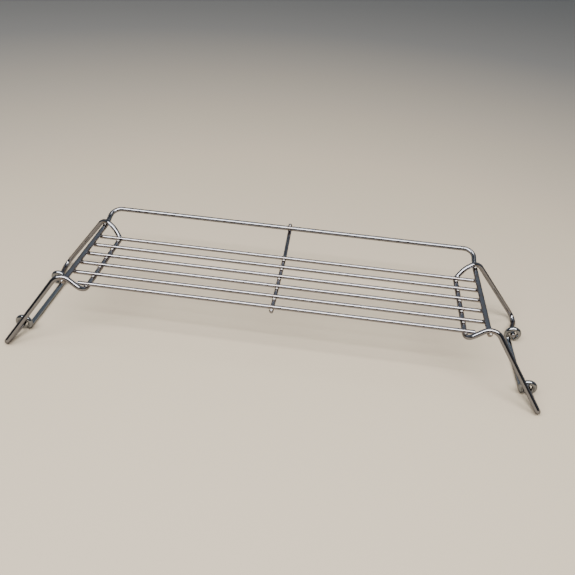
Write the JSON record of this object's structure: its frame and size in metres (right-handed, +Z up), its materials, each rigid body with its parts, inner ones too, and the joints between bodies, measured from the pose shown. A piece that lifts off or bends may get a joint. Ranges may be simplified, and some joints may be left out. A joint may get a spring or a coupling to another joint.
{
  "type": "dish drying rack",
  "caption": "Low chromed wire rack: a tray of parallel wires with a raised back rail on splayed wire legs, a swinging wire bail between the feet at each end.",
  "frame": {"origin": "centre of the bounding box, on the surface the feet stand on", "axes": "+X along the tray wires, +Y from the open front towards the raised back rail, +Z up"},
  "size_m": [0.5218, 0.1726, 0.0765],
  "materials": {
    "chrome_frame_wire": "polished",
    "chrome_tray_wire": "polished",
    "chrome_bail_wire": "polished"
  },
  "bodies": {
    "rack": {"frame_wire": "chrome_frame_wire", "middle_support": "chrome_tray_wire", "tray_wire_1": "chrome_tray_wire", "tray_wire_2": "chrome_tray_wire", "tray_wire_3": "chrome_tray_wire", "tray_wire_4": "chrome_tray_wire", "tray_wire_5": "chrome_tray_wire", "tray_wire_6": "chrome_tray_wire", "left_leg": "chrome_frame_wire", "right_leg": "chrome_frame_wire"},
    "left_bail": {"left_foot_bail": "chrome_bail_wire"},
    "right_bail": {"right_foot_bail": "chrome_bail_wire"}
  },
  "joints": [
    {"name": "left_bail_swing", "type": "hinge", "parent": "rack", "child": "left_bail", "pos_m": [-0.2511, -0.0168, 0.0091], "axis": [0, -1, 0], "range_deg": [0, 305]},
    {"name": "right_bail_swing", "type": "hinge", "parent": "rack", "child": "right_bail", "pos_m": [0.2511, -0.0168, 0.0091], "axis": [0, 1, 0], "range_deg": [0, 305]}
  ]
}
